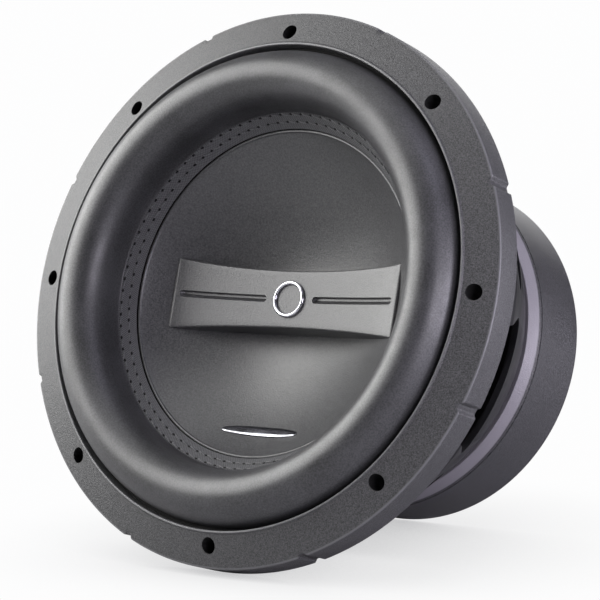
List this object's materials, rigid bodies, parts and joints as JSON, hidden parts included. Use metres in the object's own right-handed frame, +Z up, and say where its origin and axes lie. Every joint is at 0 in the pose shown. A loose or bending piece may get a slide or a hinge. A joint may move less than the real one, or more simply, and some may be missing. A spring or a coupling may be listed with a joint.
{
  "type": "car subwoofer speaker",
  "caption": "Car subwoofer driver: moulded trim ring, rubber roll surround, concave cap with a cross bar, windowed basket and covered magnet.",
  "frame": {"origin": "middle of the speaker's overall length, on its axis; the trim ring's seating face is 66.4 mm in front of it", "axes": "+Y along the speaker's axis from the cone to the motor, so the cone faces -Y; +Z up, through a trim ring hole; +X to the right seen from the front"},
  "size_m": [0.3186, 0.2054, 0.3186],
  "materials": {
    "trim_plastic": "fine grained, slightly sparkling",
    "surround_rubber": "satin",
    "basket_steel": "black powder coat",
    "boot_plastic": "satin textured",
    "cap_plastic": "satin",
    "chrome": "polished",
    "cone_pulp": "pressed paper pulp, matte",
    "former_film": "amber film",
    "copper_wire": "enamelled copper winding",
    "spider_cloth": "woven, resin stiffened",
    "fibre_board": "pressed fibre board",
    "ferrite": "sintered ferrite",
    "plated_steel": "zinc plated",
    "black_steel": "black oxide",
    "screen_steel": "black",
    "terminal_plastic": "moulded",
    "red_plastic": "moulded",
    "black_plastic": "moulded",
    "spring_steel": "drawn wire",
    "brass": "stamped strip",
    "tinsel_braid": "braided copper tinsel"
  },
  "bodies": {
    "frame": {"basket": "basket_steel", "trim_ring": "trim_plastic", "surround": "surround_rubber", "spider": "spider_cloth", "spider_ring": "fibre_board", "top_plate": "plated_steel", "magnet_front": "ferrite", "magnet_rear": "ferrite", "pole_yoke": "plated_steel", "magnet_boot": "boot_plastic", "vent_screen": "screen_steel", "terminal_block_top": "terminal_plastic", "terminal_block_bottom": "terminal_plastic", "basket_screw_1": "black_steel", "basket_screw_2": "black_steel", "basket_screw_3": "black_steel", "basket_screw_4": "black_steel", "basket_screw_5": "black_steel", "basket_screw_6": "black_steel", "terminal_contact_top_positive": "brass", "terminal_contact_top_negative": "brass", "terminal_contact_bottom_positive": "brass", "terminal_contact_bottom_negative": "brass", "terminal_spring_top_positive": "spring_steel", "terminal_spring_top_negative": "spring_steel", "terminal_spring_bottom_positive": "spring_steel", "terminal_spring_bottom_negative": "spring_steel", "terminal_rivet_top_positive": "plated_steel", "terminal_rivet_top_negative": "plated_steel", "terminal_rivet_bottom_positive": "plated_steel", "terminal_rivet_bottom_negative": "plated_steel", "tinsel_lead_top_positive": "tinsel_braid", "tinsel_lead_top_negative": "tinsel_braid", "tinsel_lead_bottom_positive": "tinsel_braid", "tinsel_lead_bottom_negative": "tinsel_braid"},
    "diaphragm": {"cone": "cone_pulp", "dust_cap": "cap_plastic", "cap_badge": "chrome", "cap_nameplate": "chrome", "voice_coil_former": "former_film", "voice_coil_inner": "copper_wire", "voice_coil_outer": "copper_wire"},
    "button_top_positive": {"terminal_button_top_positive": "red_plastic"},
    "button_top_negative": {"terminal_button_top_negative": "black_plastic"},
    "button_bottom_positive": {"terminal_button_bottom_positive": "red_plastic"},
    "button_bottom_negative": {"terminal_button_bottom_negative": "black_plastic"}
  },
  "joints": [
    {"name": "cone_travel", "type": "slide", "parent": "frame", "child": "diaphragm", "axis": [0, 1, 0], "range_m": [-0.014, 0.014], "stiffness_N_per_m": 4500, "deforming": ["surround", "spider", "tinsel_lead_top_positive", "tinsel_lead_top_negative", "tinsel_lead_bottom_positive", "tinsel_lead_bottom_negative"]},
    {"name": "press_top_positive", "type": "slide", "parent": "frame", "child": "button_top_positive", "axis": [0.0795, -0.4472, -0.8909], "range_m": [0, 0.0035], "stiffness_N_per_m": 600, "springref_m": -0.001, "deforming": ["terminal_spring_top_positive"]},
    {"name": "press_top_negative", "type": "slide", "parent": "frame", "child": "button_top_negative", "axis": [0.0795, -0.4472, -0.8909], "range_m": [0, 0.0035], "stiffness_N_per_m": 600, "springref_m": -0.001, "deforming": ["terminal_spring_top_negative"]},
    {"name": "press_bottom_positive", "type": "slide", "parent": "frame", "child": "button_bottom_positive", "axis": [0.5737, -0.4472, 0.6862], "range_m": [0, 0.0035], "stiffness_N_per_m": 600, "springref_m": -0.001, "deforming": ["terminal_spring_bottom_positive"]},
    {"name": "press_bottom_negative", "type": "slide", "parent": "frame", "child": "button_bottom_negative", "axis": [0.5737, -0.4472, 0.6862], "range_m": [0, 0.0035], "stiffness_N_per_m": 600, "springref_m": -0.001, "deforming": ["terminal_spring_bottom_negative"]}
  ]
}
